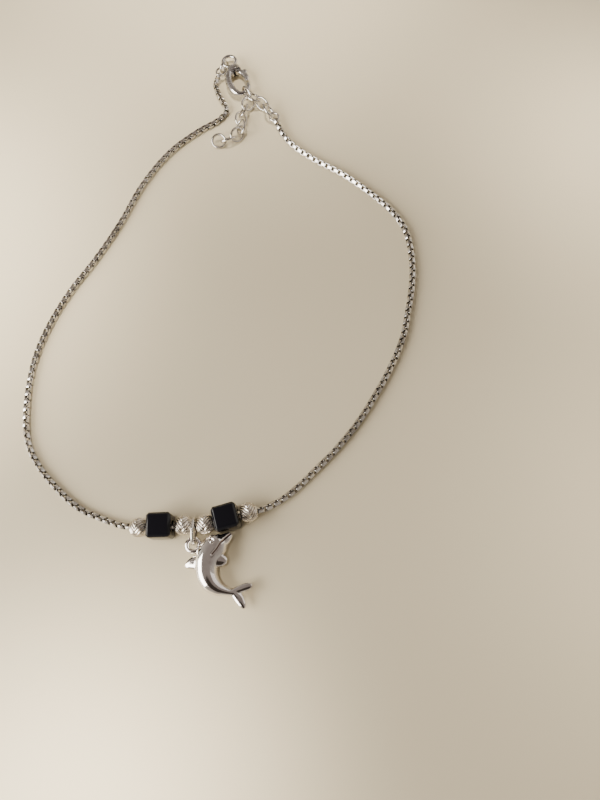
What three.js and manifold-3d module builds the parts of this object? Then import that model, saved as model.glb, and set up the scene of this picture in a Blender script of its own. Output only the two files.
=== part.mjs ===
// A dolphin charm anklet lying closed on a table: a fine silver box chain with four diamond-cut balls,
// two black cubes, a dolphin charm on a ring, and a lobster clasp hooked into an extender.
// Millimetres, +Z up, the table at z = 0. Plan places are measured from the middle of the loop.

import * as THREE from 'three';
import { ConvexGeometry } from 'three/addons/geometries/ConvexGeometry.js';
import { mergeVertices } from 'three/addons/utils/BufferGeometryUtils.js';
import Module from 'manifold-3d';

const wasm = await Module();
wasm.setup();

// Box chain, as the round space that its links fill.
const CHAIN_DIAMETER = 1.2;
const CHAIN_SIDES = 8;
const CHAIN_STEP = 2.6;
const CHAIN_REST = CHAIN_DIAMETER / 2 + 0.02;
const CHAIN_MEETING_GAP = 0.3;
const EYE = { long: 2.3, wide: 2.0, wire: 0.38 };
const EYE_SIDES = 12;

// Threaded beads.
const BORE_DIAMETER = 1.72;
const BALL_DIAMETER = 3.1;
const CUBE_SIDE = 3.85;
const CUBE_CHAMFER = 0.38;
const ROUND_SIDES = 14;
const BALL_BANDS = 8;

// Wire rings.
const WIRE_SIDES = 6;
const RING_SIDES = 16;
const LINK = { long: 3.3, wide: 2.7, wire: 0.42 };
const CHARM_RING = { long: 4.5, wide: 3.2, wire: 0.5 };
const CLASP_RING = { long: 2.6, wide: 2.5, wire: 0.45 };
const EXTENDER_RING = { long: 3.5, wide: 3.3, wire: 0.48 };
const END_RING = { long: 3.0, wide: 2.8, wire: 0.45 };

// Lobster clasp, in its own plan: the tail ring at the origin and the claw towards -Y.
const CLASP_PLACE = { x: -0.4, y: 50.3, z: 1.25, turn: 21 };
const TAIL = { long: 3.2, wide: 3.2, wire: 0.62 };
const HEAD_THICKNESS = 2.1;
const HEAD_EDGE = 0.3;
const SLOT_WIDTH = 1.2;
const SLOT_REACH = 0.95;
const SLOT_SIZE = 3;
const LEVER_THICKNESS = 0.8;
const LEVER_EYE_DIAMETER = 1.5;
const PIVOT = { x: 0.7, y: -2.75 };
const PIN_DIAMETER = 0.56;
const PIN_HOLE_DIAMETER = 0.9;
const PIN_PROUD = 0.05;
const PIN_SIDES = 12;
const THUMB = { x: 1.95, y: -3.75, long: 1.3, wide: 1.0, tall: 0.9 };

// Dolphin charm, in its own plan.
const DOLPHIN_PLACE = { x: -3.3, y: -43.0 };
const DOLPHIN_MID_HEIGHT = 1.5;
const BAIL_PLACE = { x: 0.4, y: -0.4 };
const BAIL = { long: 2.7, wide: 2.7, wire: 0.74 };

// Beads from the clasp's side to the extender's side.
const BEADS = [
  { name: 'ball_bead_1', form: 'ball', x: -11.6, y: -40.6, z: 1.6 },
  { name: 'cube_bead_1', form: 'cube', x: -8.1, y: -40.5, z: CUBE_SIDE / 2 },
  { name: 'ball_bead_2', form: 'ball', x: -4.5, y: -40.4, z: 1.8 },
  { name: 'ball_bead_3', form: 'ball', x: -1.1, y: -40.3, z: 1.8 },
  { name: 'cube_bead_2', form: 'cube', x: 2.2, y: -39.35, z: CUBE_SIDE / 2 },
  { name: 'ball_bead_4', form: 'ball', x: 5.55, y: -38.5, z: 1.6 },
];

// Routes of the chain beyond the outer balls. Where no height is given the chain lies on the table.
const LEFT_ROUTE = [
  { x: -14.6, y: -40.2, z: 0.9 },
  { x: -18.3, y: -38.9 },
  { x: -22.1, y: -37.2 },
  { x: -25.9, y: -34.1 },
  { x: -29.5, y: -30.2 },
  { x: -31.7, y: -26.4 },
  { x: -32.7, y: -21.2 },
  { x: -32.8, y: -15.9 },
  { x: -32.2, y: -10.4 },
  { x: -30.4, y: -4.6 },
  { x: -27.4, y: 1.6 },
  { x: -23.5, y: 7.7 },
  { x: -19.5, y: 15.1 },
  { x: -16.0, y: 23.0 },
  { x: -11.2, y: 30.1 },
  { x: -5.9, y: 34.6 },
  { x: -2.2, y: 36.9 },
  { x: -0.7, y: 38.9 },
  { x: -1.4, y: 41.0 },
  { x: -2.4, y: 43.2 },
  { x: -3.0, y: 45.5, z: 0.8 },
  { x: -2.4, y: 47.0, z: 1.15 },
];
const RIGHT_ROUTE = [
  { x: 8.3, y: -37.7, z: 0.9 },
  { x: 11.9, y: -35.5 },
  { x: 15.6, y: -32.1 },
  { x: 19.1, y: -28.6 },
  { x: 22.8, y: -24.1 },
  { x: 25.9, y: -19.3 },
  { x: 28.6, y: -14.4 },
  { x: 30.7, y: -9.4 },
  { x: 31.9, y: -4.1 },
  { x: 32.7, y: 0.7 },
  { x: 32.9, y: 5.3 },
  { x: 32.1, y: 11.0 },
  { x: 29.8, y: 15.2 },
  { x: 25.9, y: 19.4 },
  { x: 21.2, y: 23.5 },
  { x: 16.4, y: 26.7 },
  { x: 12.4, y: 30.1 },
  { x: 10.3, y: 33.0 },
  { x: 9.0, y: 35.7, z: 0.9 },
];

// Closed rings: their long axis points to heading in plan, and lean turns them up about that axis.
const RINGS = [
  { name: 'charm_ring', x: -2.86, y: -41.3, z: 1.75, heading: 90, lean: 90, ...CHARM_RING },
  { name: 'clasp_ring', x: -1.34, y: 48.96, z: 1.35, heading: 235, lean: 90, ...CLASP_RING },
  { name: 'extender_ring', x: 7.65, y: 37.75, z: 1.44, heading: -69, lean: -55, ...EXTENDER_RING },
  { name: 'extender_link_01', x: 6.32, y: 39.46, z: 1.4, heading: -38, lean: 66, ...LINK },
  { name: 'extender_link_02', x: 4.68, y: 40.76, z: 1.77, heading: -39, lean: -30, ...LINK },
  { name: 'extender_link_03', x: 3.3, y: 42.12, z: 1.34, heading: -58, lean: 75, ...LINK },
  { name: 'extender_link_04', x: 3.51, y: 40.22, z: 0.8, heading: 64, lean: 31, ...LINK },
  { name: 'extender_link_05', x: 2.67, y: 38.36, z: 1.08, heading: 70, lean: -50, ...LINK },
  { name: 'extender_link_06', x: 2.25, y: 36.5, z: 0.96, heading: 82, lean: 41, ...LINK },
  { name: 'extender_link_07', x: 2.31, y: 34.66, z: 1.03, heading: 95, lean: -46, ...LINK },
  { name: 'extender_link_08', x: 1.64, y: 32.95, z: 1.04, heading: 54, lean: 46, ...LINK },
  { name: 'extender_link_09', x: 0.0, y: 32.05, z: 1.04, heading: 18, lean: -46, ...LINK },
  { name: 'extender_end_ring', x: -1.85, y: 31.9, z: 0.84, heading: -5, lean: 31, ...END_RING },
];

// Dolphin's body from forehead to tail: middle line in plan, half width across it, half thickness.
const DOLPHIN_BODY = [
  { x: 4.82, y: 1.15, z: 1.48, wide: 0.22, tall: 0.22 },
  { x: 4.7, y: 0.9, z: 1.48, wide: 0.75, tall: 0.68 },
  { x: 4.45, y: 0.45, z: 1.5, wide: 1.4, tall: 1.2 },
  { x: 4.0, y: -0.25, z: 1.5, wide: 1.88, tall: 1.42 },
  { x: 3.35, y: -1.2, z: 1.5, wide: 2.02, tall: 1.48 },
  { x: 2.8, y: -2.4, z: 1.5, wide: 1.92, tall: 1.48 },
  { x: 2.6, y: -3.7, z: 1.5, wide: 1.72, tall: 1.48 },
  { x: 2.75, y: -4.95, z: 1.5, wide: 1.62, tall: 1.42 },
  { x: 3.35, y: -6.05, z: 1.45, wide: 1.45, tall: 1.28 },
  { x: 4.35, y: -6.85, z: 1.4, wide: 1.12, tall: 1.05 },
  { x: 5.4, y: -7.25, z: 1.35, wide: 0.8, tall: 0.8 },
  { x: 6.4, y: -7.45, z: 1.3, wide: 0.58, tall: 0.6 },
  { x: 7.5, y: -7.5, z: 1.3, wide: 0.55, tall: 0.42 },
];
// Beak and fins from root to tip, in the same columns.
const BEAK = [
  { x: 4.6, y: 0.1, z: 1.48, wide: 1.15, tall: 1.0 },
  { x: 5.3, y: 0.45, z: 1.46, wide: 0.95, tall: 0.82 },
  { x: 5.85, y: 0.92, z: 1.44, wide: 0.66, tall: 0.58 },
  { x: 6.2, y: 1.3, z: 1.42, wide: 0.4, tall: 0.36 },
];
const UPPER_FLUKE = [
  { x: 6.9, y: -7.3, z: 1.3, wide: 0.55, tall: 0.5 },
  { x: 7.8, y: -6.98, z: 1.3, wide: 0.62, tall: 0.42 },
  { x: 8.6, y: -6.68, z: 1.3, wide: 0.62, tall: 0.36 },
  { x: 9.25, y: -6.52, z: 1.32, wide: 0.52, tall: 0.3 },
  { x: 9.62, y: -6.42, z: 1.34, wide: 0.32, tall: 0.2 },
];
const LOWER_FLUKE = [
  { x: 6.9, y: -7.6, z: 1.3, wide: 0.55, tall: 0.5 },
  { x: 7.55, y: -8.15, z: 1.28, wide: 0.74, tall: 0.42 },
  { x: 8.0, y: -8.85, z: 1.26, wide: 0.66, tall: 0.36 },
  { x: 8.35, y: -9.45, z: 1.24, wide: 0.46, tall: 0.28 },
  { x: 8.5, y: -9.8, z: 1.24, wide: 0.24, tall: 0.18 },
];
const DORSAL_FIN = [
  { x: 1.7, y: -3.0, z: 1.35, wide: 1.4, tall: 0.8 },
  { x: 0.7, y: -3.1, z: 1.32, wide: 1.12, tall: 0.62 },
  { x: 0.05, y: -3.25, z: 1.3, wide: 0.85, tall: 0.48 },
  { x: -0.42, y: -3.42, z: 1.28, wide: 0.6, tall: 0.36 },
  { x: -0.7, y: -3.52, z: 1.28, wide: 0.36, tall: 0.24 },
];
const FLIPPER = [
  { x: 3.9, y: -2.7, z: 1.8, wide: 1.0, tall: 0.6 },
  { x: 4.7, y: -2.75, z: 1.85, wide: 1.0, tall: 0.46 },
  { x: 5.3, y: -2.82, z: 1.8, wide: 0.8, tall: 0.36 },
  { x: 5.75, y: -2.9, z: 1.75, wide: 0.42, tall: 0.24 },
];
const BODY_SIDES = 16;
const BODY_STEPS = 26;
const FIN_SIDES = 10;
const FIN_STEPS = 6;

// Claw of the clasp from its head round to its tip.
const CLAW = [
  { x: -0.2, y: -2.2, z: 0, wide: 0.6, tall: 0.7 },
  { x: -1.1, y: -3.1, z: 0, wide: 0.74, tall: 0.88 },
  { x: -1.62, y: -4.4, z: 0, wide: 0.74, tall: 0.92 },
  { x: -1.72, y: -6.0, z: 0, wide: 0.72, tall: 0.88 },
  { x: -1.4, y: -7.6, z: 0, wide: 0.66, tall: 0.78 },
  { x: -0.55, y: -8.45, z: 0, wide: 0.5, tall: 0.52 },
  { x: 0.5, y: -8.45, z: 0, wide: 0.49, tall: 0.5 },
  { x: 1.3, y: -7.7, z: 0, wide: 0.5, tall: 0.52 },
  { x: 1.6, y: -6.7, z: 0, wide: 0.34, tall: 0.4 },
];
const CLAW_SIDES = 10;
const CLAW_STEPS = 22;

// Lever's arm from the pivot to the tip that meets the claw.
const LEVER_ARM = [
  { x: 0.85, y: -2.95, z: 0, wide: 0.42, tall: 0.4 },
  { x: 1.4, y: -3.7, z: 0, wide: 0.55, tall: 0.42 },
  { x: 1.75, y: -4.7, z: 0, wide: 0.6, tall: 0.52 },
  { x: 1.75, y: -5.55, z: 0, wide: 0.5, tall: 0.5 },
  { x: 1.58, y: -6.1, z: 0, wide: 0.3, tall: 0.4 },
];
const LEVER_STEPS = 10;

const SILVER = new THREE.MeshStandardMaterial({ color: 0xd9d4cc, roughness: 0.18, metalness: 1 });
const CUT_SILVER = new THREE.MeshStandardMaterial({ color: 0xd8cfbd, roughness: 0.28, metalness: 1 });
const BLACK_STONE = new THREE.MeshStandardMaterial({ color: 0x08080b, roughness: 0.06, metalness: 0 });

const anklet = new THREE.Group();
const radians = THREE.MathUtils.degToRad;

function addPiece(name, geometry, material, parent = anklet) {
  const mesh = new THREE.Mesh(geometry, material);
  mesh.name = name;
  parent.add(mesh);
  return mesh;
}

function solidOf(geometry) {
  const bare = geometry.clone();
  bare.deleteAttribute('normal');
  bare.deleteAttribute('uv');
  const merged = mergeVertices(bare, 1e-4);
  const vertProperties = new Float32Array(merged.attributes.position.array);
  const triVerts = new Uint32Array(merged.index.array);
  return new wasm.Manifold(new wasm.Mesh({ numProp: 3, vertProperties, triVerts }));
}

function geometryOf(solid) {
  const mesh = solid.getMesh();
  const geometry = new THREE.BufferGeometry();
  geometry.setAttribute('position', new THREE.BufferAttribute(mesh.vertProperties, 3));
  geometry.setIndex(new THREE.BufferAttribute(mesh.triVerts, 1));
  geometry.computeVertexNormals();
  return geometry;
}

function joined(geometries) {
  return geometries.map(solidOf).reduce((whole, solid) => whole.add(solid));
}

/** Closed surface through rows of points that each go round once; a hoop's last row meets its first. */
function skin(rows, hoop) {
  const sides = rows[0].length;
  const points = rows.flat();
  const triangles = [];
  const bands = hoop ? rows.length : rows.length - 1;
  for (let i = 0; i < bands; i += 1) {
    const near = i * sides;
    const far = ((i + 1) % rows.length) * sides;
    for (let j = 0; j < sides; j += 1) {
      const next = (j + 1) % sides;
      triangles.push(near + j, near + next, far + j);
      triangles.push(near + next, far + next, far + j);
    }
  }
  if (!hoop) {
    const last = bands * sides;
    for (let j = 1; j < sides - 1; j += 1) {
      triangles.push(0, j + 1, j);
      triangles.push(last, last + j, last + j + 1);
    }
  }
  const geometry = new THREE.BufferGeometry().setFromPoints(points);
  geometry.setIndex(triangles);
  return geometry;
}

/** Points of an ellipse round a middle, square to along, with half sizes across and upwards. */
function ellipse(middle, along, wide, tall, sides) {
  const across = new THREE.Vector3().crossVectors(new THREE.Vector3(0, 0, 1), along).normalize();
  const rise = new THREE.Vector3().crossVectors(along, across).normalize();
  return Array.from({ length: sides }, (_, j) => {
    const angle = (2 * Math.PI * j) / sides;
    const point = middle.clone().addScaledVector(across, wide * Math.cos(angle));
    return point.addScaledVector(rise, tall * Math.sin(angle));
  });
}

/** Solid through ellipses along a smooth line; a row holds a middle and two half sizes. */
function loft(rows, sides, steps) {
  const middles = rows.map((r) => new THREE.Vector3(r.x, r.y, r.z));
  const halfSizes = rows.map((r) => new THREE.Vector3(r.wide, r.tall, 0));
  const line = new THREE.CatmullRomCurve3(middles, false, 'catmullrom');
  const sizes = new THREE.CatmullRomCurve3(halfSizes, false, 'catmullrom');
  const sections = [];
  for (let i = 0; i <= steps; i += 1) {
    const size = sizes.getPoint(i / steps);
    sections.push(ellipse(line.getPoint(i / steps), line.getTangent(i / steps), size.x, size.y, sides));
  }
  return skin(sections, false);
}

/** Closed oval of round wire lying flat, measured over the wire. */
function wireRing({ long, wide, wire }, sides = RING_SIDES) {
  const line = new THREE.EllipseCurve(0, 0, (long - wire) / 2, (wide - wire) / 2);
  const sections = [];
  for (let i = 0; i < sides; i += 1) {
    const middle = line.getPoint(i / sides);
    const along = line.getTangent(i / sides);
    sections.push(ellipse(
      new THREE.Vector3(middle.x, middle.y, 0), new THREE.Vector3(along.x, along.y, 0),
      wire / 2, wire / 2, WIRE_SIDES));
  }
  return skin(sections, true);
}

/** Plate with an eased edge, centred on height z. */
function plate(shape, thickness, edge, z) {
  const flat = thickness - 2 * edge;
  const geometry = new THREE.ExtrudeGeometry(shape, {
    depth: flat, bevelEnabled: true, bevelThickness: edge, bevelSize: edge, bevelOffset: -edge,
    bevelSegments: 1, curveSegments: 5,
  });
  return geometry.translate(0, 0, z - flat / 2);
}

/** Upright cylinder through a plan point. */
function upright(diameter, height, place, sides) {
  const geometry = new THREE.CylinderGeometry(diameter / 2, diameter / 2, height, sides);
  return geometry.rotateX(Math.PI / 2).translate(place.x, place.y, 0);
}

// Box chain

function routePoint(row) {
  return new THREE.Vector3(row.x, row.y, row.z ?? CHAIN_REST);
}

/** Run of chain along a route, with the eye soldered to its far end. */
function chainRun(points) {
  const curve = new THREE.CatmullRomCurve3(points, false, 'centripetal');
  const section = new THREE.Shape();
  for (let i = 0; i < CHAIN_SIDES; i += 1) {
    const angle = (2 * Math.PI * (i + 0.5)) / CHAIN_SIDES;
    const place = [Math.cos(angle) * CHAIN_DIAMETER / 2, Math.sin(angle) * CHAIN_DIAMETER / 2];
    if (i === 0) section.moveTo(...place);
    else section.lineTo(...place);
  }
  section.closePath();
  const steps = Math.round(curve.getLength() / CHAIN_STEP);
  const tube = new THREE.ExtrudeGeometry(section, { steps, extrudePath: curve, bevelEnabled: false });
  const end = curve.getPoint(1);
  const heading = curve.getTangent(1);
  const eye = wireRing(EYE, EYE_SIDES).rotateZ(Math.atan2(heading.y, heading.x));
  end.addScaledVector(heading, (EYE.long - EYE.wire) / 2);
  eye.translate(end.x, end.y, end.z);
  return geometryOf(joined([tube, eye]));
}

const beadPlaces = BEADS.map(routePoint);
const meeting = beadPlaces[2];
const halfGap = new THREE.Vector3().subVectors(beadPlaces[3], meeting).setLength(CHAIN_MEETING_GAP / 2);
const leftPoints = [
  meeting.clone().sub(halfGap), beadPlaces[1], beadPlaces[0], ...LEFT_ROUTE.map(routePoint)];
const rightPoints = [
  meeting.clone().add(halfGap), ...beadPlaces.slice(3), ...RIGHT_ROUTE.map(routePoint)];
addPiece('chain_left', chainRun(leftPoints), SILVER);
addPiece('chain_right', chainRun(rightPoints), SILVER);

// Beads, drilled along the chain

function drilledBall() {
  const reach = Math.sqrt(BALL_DIAMETER ** 2 - BORE_DIAMETER ** 2) / 2;
  const latitude = Math.asin((2 * reach) / BALL_DIAMETER);
  const profile = [];
  for (let i = 0; i <= BALL_BANDS; i += 1) {
    const angle = latitude * ((2 * i) / BALL_BANDS - 1);
    profile.push(new THREE.Vector2(Math.cos(angle), Math.sin(angle)).multiplyScalar(BALL_DIAMETER / 2));
  }
  profile.push(profile[0].clone());
  return new THREE.LatheGeometry(profile, ROUND_SIDES).rotateZ(-Math.PI / 2);
}

function drilledCube() {
  const half = CUBE_SIDE / 2;
  const inner = half - CUBE_CHAMFER;
  const corners = [];
  for (const face of ['x', 'y', 'z']) {
    for (const side of [-1, 1]) {
      for (const a of [-1, 1]) {
        for (const b of [-1, 1]) {
          const [first, second] = ['x', 'y', 'z'].filter((axis) => axis !== face);
          const corner = new THREE.Vector3();
          corner[face] = side * half;
          corner[first] = a * inner;
          corner[second] = b * inner;
          corners.push(corner);
        }
      }
    }
  }
  const bore = BORE_DIAMETER / 2;
  const drill = new THREE.CylinderGeometry(bore, bore, 2 * CUBE_SIDE, ROUND_SIDES).rotateZ(Math.PI / 2);
  return geometryOf(solidOf(new ConvexGeometry(corners)).subtract(solidOf(drill)));
}

const threaded = [routePoint(LEFT_ROUTE[0]), ...beadPlaces, routePoint(RIGHT_ROUTE[0])];
BEADS.forEach((bead, i) => {
  const along = new THREE.Vector3().subVectors(threaded[i + 2], threaded[i]);
  const round = bead.form === 'ball';
  if (!round) along.z = 0;
  const mesh = addPiece(
    bead.name, round ? drilledBall() : drilledCube(), round ? CUT_SILVER : BLACK_STONE);
  mesh.position.copy(beadPlaces[i]);
  mesh.quaternion.setFromUnitVectors(new THREE.Vector3(1, 0, 0), along.normalize());
});

// Wire rings

RINGS.forEach((row) => {
  const mesh = addPiece(row.name, wireRing(row), SILVER);
  mesh.position.set(row.x, row.y, row.z);
  mesh.rotation.set(radians(row.lean), 0, radians(row.heading), 'ZXY');
});

// Dolphin with its bail, one casting

const bail = wireRing(BAIL).translate(BAIL_PLACE.x, BAIL_PLACE.y, DOLPHIN_MID_HEIGHT);
const beakAndFins = [BEAK, UPPER_FLUKE, LOWER_FLUKE, DORSAL_FIN, FLIPPER]
  .map((rows) => loft(rows, FIN_SIDES, FIN_STEPS));
const dolphin = joined([loft(DOLPHIN_BODY, BODY_SIDES, BODY_STEPS), ...beakAndFins, bail]);
const dolphinMesh = addPiece('dolphin', geometryOf(dolphin), SILVER);
dolphinMesh.position.set(DOLPHIN_PLACE.x, DOLPHIN_PLACE.y, 0);

// Lobster clasp

const clasp = new THREE.Group();
clasp.position.set(CLASP_PLACE.x, CLASP_PLACE.y, CLASP_PLACE.z);
clasp.rotation.z = radians(CLASP_PLACE.turn);
anklet.add(clasp);

function claspHead() {
  const shape = new THREE.Shape();
  shape.moveTo(-0.5, -1.25);
  shape.lineTo(0.5, -1.25);
  shape.quadraticCurveTo(1.55, -1.7, 1.6, -2.7);
  shape.quadraticCurveTo(1.55, -3.4, 0.9, -3.6);
  shape.lineTo(-0.7, -3.6);
  shape.quadraticCurveTo(-1.5, -3.3, -1.3, -2.5);
  shape.quadraticCurveTo(-1.0, -1.6, -0.5, -1.25);
  return plate(shape, HEAD_THICKNESS, HEAD_EDGE, 0);
}

const slotMiddle = SLOT_SIZE / 2 - SLOT_REACH;
const slot = new THREE.BoxGeometry(SLOT_SIZE, SLOT_SIZE, SLOT_WIDTH)
  .translate(PIVOT.x + slotMiddle, PIVOT.y - slotMiddle, 0);
const pinHole = upright(PIN_HOLE_DIAMETER, 2 * HEAD_THICKNESS, PIVOT, PIN_SIDES);
const claspBody = joined([wireRing(TAIL), claspHead(), loft(CLAW, CLAW_SIDES, CLAW_STEPS)])
  .subtract(solidOf(slot))
  .subtract(solidOf(pinHole));
addPiece('clasp_body', geometryOf(claspBody), SILVER, clasp);

const leverEye = upright(LEVER_EYE_DIAMETER, LEVER_THICKNESS, PIVOT, ROUND_SIDES);
const thumbPiece = new THREE.SphereGeometry(0.5, 10, 8)
  .scale(THUMB.wide, THUMB.long, THUMB.tall)
  .translate(THUMB.x, THUMB.y, 0);
const lever = joined([leverEye, loft(LEVER_ARM, CLAW_SIDES, LEVER_STEPS), thumbPiece])
  .subtract(solidOf(pinHole));
addPiece('clasp_lever', geometryOf(lever), SILVER, clasp);
const pin = upright(PIN_DIAMETER, HEAD_THICKNESS + 2 * PIN_PROUD, PIVOT, PIN_SIDES);
addPiece('clasp_pin', pin, SILVER, clasp);

// The origin lies on the table under the middle of the whole piece.
const bounds = new THREE.Box3().setFromObject(anklet, true);
const middle = bounds.getCenter(new THREE.Vector3());
anklet.position.set(-middle.x, -middle.y, -bounds.min.z);

export default anklet;
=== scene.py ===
"""Looks of the dolphin charm anklet: box links, diamond-cut balls, polished cubes, cast charm and clasp."""

import math

import bmesh
import bpy
import numpy as np
from mathutils import Matrix, Vector


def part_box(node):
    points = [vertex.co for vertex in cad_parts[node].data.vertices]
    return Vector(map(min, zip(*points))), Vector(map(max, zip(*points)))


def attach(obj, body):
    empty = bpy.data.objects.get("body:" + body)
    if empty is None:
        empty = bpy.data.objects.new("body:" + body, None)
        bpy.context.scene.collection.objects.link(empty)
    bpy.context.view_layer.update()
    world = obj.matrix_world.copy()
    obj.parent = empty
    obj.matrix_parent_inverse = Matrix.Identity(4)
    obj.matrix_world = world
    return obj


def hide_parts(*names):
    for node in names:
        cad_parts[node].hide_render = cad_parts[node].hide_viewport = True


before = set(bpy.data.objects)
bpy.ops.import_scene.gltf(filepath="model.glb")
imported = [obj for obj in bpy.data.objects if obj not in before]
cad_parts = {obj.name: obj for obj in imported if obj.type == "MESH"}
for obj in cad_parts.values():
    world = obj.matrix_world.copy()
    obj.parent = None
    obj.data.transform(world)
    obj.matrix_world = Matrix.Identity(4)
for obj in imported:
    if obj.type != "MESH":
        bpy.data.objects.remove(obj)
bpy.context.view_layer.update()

# Metres in a millimetre. Sizes and places below are in millimetres, seen from the middle of the loop.
MM = 0.001

# The clasp's tail ring and its turn, and the lever's pivot as seen from that ring.
CLASP_PLACE = (-0.4, 50.3, 1.25)
CLASP_TURN = math.radians(21)
PIVOT = (0.7, -2.75)

# Box chain.
LINK_PITCH = 0.685
LINK_LONG = 1.02
LINK_WIDE = 1.0
LINK_BAND = 0.56
LINK_THICK = 0.15
LINK_CORNER = 0.13
LINK_EASE = 0.06
LINK_PLAY = math.radians(3)
CHAIN_REST = 0.55
CHAIN_HALF_GAP = 0.6
# Length, width and wire of the ring soldered to each run's end.
CHAIN_EYE = (2.3, 2.0, 0.38)

# Beads.
BALL_RADIUS = 1.55
BORE_RADIUS = 0.86
BALL_CUTS = 14
BALL_CUT_DEPTH = 0.13
# How far a cut leans, in cuts passed for each radian towards the bore, and how hollow it is.
BALL_CUT_LEAN = 2.6
BALL_CUT_CURVE = 1.2
# Radians beside the bore over which the cuts fade, and the share of a cut's depth kept free of painted
# shade.
BALL_RIM = 0.16
BALL_BRIGHT_SHARE = 0.3
CUBE_ROUNDING = 0.07

# Silver charm, with its bail's length, width and wire, and the bail's middle from DOLPHIN_PLACE.
DOLPHIN_PLACE = (-3.3, -43.0)
BAIL = (2.7, 2.7, 0.74)
BAIL_PLACE = (0.4, -0.4, 1.5)

# x, y, height of each bead along the thread.
BEADS = {
    "ball_bead_1": (-11.6, -40.6, 1.6),
    "cube_bead_1": (-8.1, -40.5, 1.925),
    "ball_bead_2": (-4.5, -40.4, 1.8),
    "ball_bead_3": (-1.1, -40.3, 1.8),
    "cube_bead_2": (2.2, -39.35, 1.925),
    "ball_bead_4": (5.55, -38.5, 1.6),
}

# x, y, height, roll of the links in degrees.
LEFT_ROUTE = [
    (-14.6, -40.2, 0.9, 45),
    (-18.3, -38.9, CHAIN_REST, 45),
    (-22.1, -37.2, CHAIN_REST, 45),
    (-25.9, -34.1, CHAIN_REST, 45),
    (-29.5, -30.2, CHAIN_REST, 45),
    (-31.7, -26.4, CHAIN_REST, 50),
    (-32.7, -21.2, CHAIN_REST, 70),
    (-32.8, -15.9, CHAIN_REST, 82),
    (-32.2, -10.4, CHAIN_REST, 88),
    (-30.4, -4.6, CHAIN_REST, 90),
    (-27.4, 1.6, CHAIN_REST, 90),
    (-23.5, 7.7, CHAIN_REST, 92),
    (-19.5, 15.1, CHAIN_REST, 90),
    (-16.0, 23.0, CHAIN_REST, 88),
    (-11.2, 30.1, CHAIN_REST, 90),
    (-5.9, 34.6, CHAIN_REST, 95),
    (-2.2, 36.9, CHAIN_REST, 105),
    (-0.7, 38.9, CHAIN_REST, 115),
    (-1.4, 41.0, CHAIN_REST, 125),
    (-2.4, 43.2, CHAIN_REST, 130),
    (-3.0, 45.5, 0.8, 135),
    (-2.4, 47.0, 1.15, 135),
]
RIGHT_ROUTE = [
    (8.3, -37.7, 0.9, 45),
    (11.9, -35.5, CHAIN_REST, 45),
    (15.6, -32.1, CHAIN_REST, 48),
    (19.1, -28.6, CHAIN_REST, 45),
    (22.8, -24.1, CHAIN_REST, 42),
    (25.9, -19.3, CHAIN_REST, 45),
    (28.6, -14.4, CHAIN_REST, 50),
    (30.7, -9.4, CHAIN_REST, 48),
    (31.9, -4.1, CHAIN_REST, 45),
    (32.7, 0.7, CHAIN_REST, 42),
    (32.9, 5.3, CHAIN_REST, 40),
    (32.1, 11.0, CHAIN_REST, 40),
    (29.8, 15.2, CHAIN_REST, 35),
    (25.9, 19.4, CHAIN_REST, 38),
    (21.2, 23.5, CHAIN_REST, 45),
    (16.4, 26.7, CHAIN_REST, 50),
    (12.4, 30.1, CHAIN_REST, 48),
    (10.3, 33.0, CHAIN_REST, 45),
    (9.0, 35.7, 0.9, 45),
]

EXTENDER_LINK = (3.3, 2.7, 0.42)
# x, y, height, heading and lean in degrees, (length, width, wire) of each closed ring.
RINGS = {
    "charm_ring": (-2.86, -41.3, 1.75, 90, 90, (4.5, 3.2, 0.5)),
    "clasp_ring": (-1.34, 48.96, 1.35, 235, 90, (2.6, 2.5, 0.45)),
    "extender_ring": (7.65, 37.75, 1.44, -69, -55, (3.5, 3.3, 0.48)),
    "extender_link_01": (6.32, 39.46, 1.4, -38, 66, EXTENDER_LINK),
    "extender_link_02": (4.68, 40.76, 1.77, -39, -30, EXTENDER_LINK),
    "extender_link_03": (3.3, 42.12, 1.34, -58, 75, EXTENDER_LINK),
    "extender_link_04": (3.51, 40.22, 0.8, 64, 31, EXTENDER_LINK),
    "extender_link_05": (2.67, 38.36, 1.08, 70, -50, EXTENDER_LINK),
    "extender_link_06": (2.25, 36.5, 0.96, 82, 41, EXTENDER_LINK),
    "extender_link_07": (2.31, 34.66, 1.03, 95, -46, EXTENDER_LINK),
    "extender_link_08": (1.64, 32.95, 1.04, 54, 46, EXTENDER_LINK),
    "extender_link_09": (0.0, 32.05, 1.04, 18, -46, EXTENDER_LINK),
    "extender_end_ring": (-1.85, 31.9, 0.84, -5, 31, (3.0, 2.8, 0.45)),
}

# From DOLPHIN_PLACE: x, y, height, half width and half thickness, from the forehead to the tail.
DOLPHIN_BODY = [
    (4.82, 1.15, 1.48, 0.22, 0.22),
    (4.7, 0.9, 1.48, 0.75, 0.68),
    (4.45, 0.45, 1.5, 1.4, 1.2),
    (4.0, -0.25, 1.5, 1.88, 1.42),
    (3.35, -1.2, 1.5, 2.02, 1.48),
    (2.8, -2.4, 1.5, 1.92, 1.48),
    (2.6, -3.7, 1.5, 1.72, 1.48),
    (2.75, -4.95, 1.5, 1.62, 1.42),
    (3.35, -6.05, 1.45, 1.45, 1.28),
    (4.35, -6.85, 1.4, 1.12, 1.05),
    (5.4, -7.25, 1.35, 0.8, 0.8),
    (6.4, -7.45, 1.3, 0.58, 0.6),
    (7.5, -7.5, 1.3, 0.55, 0.42),
]
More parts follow.
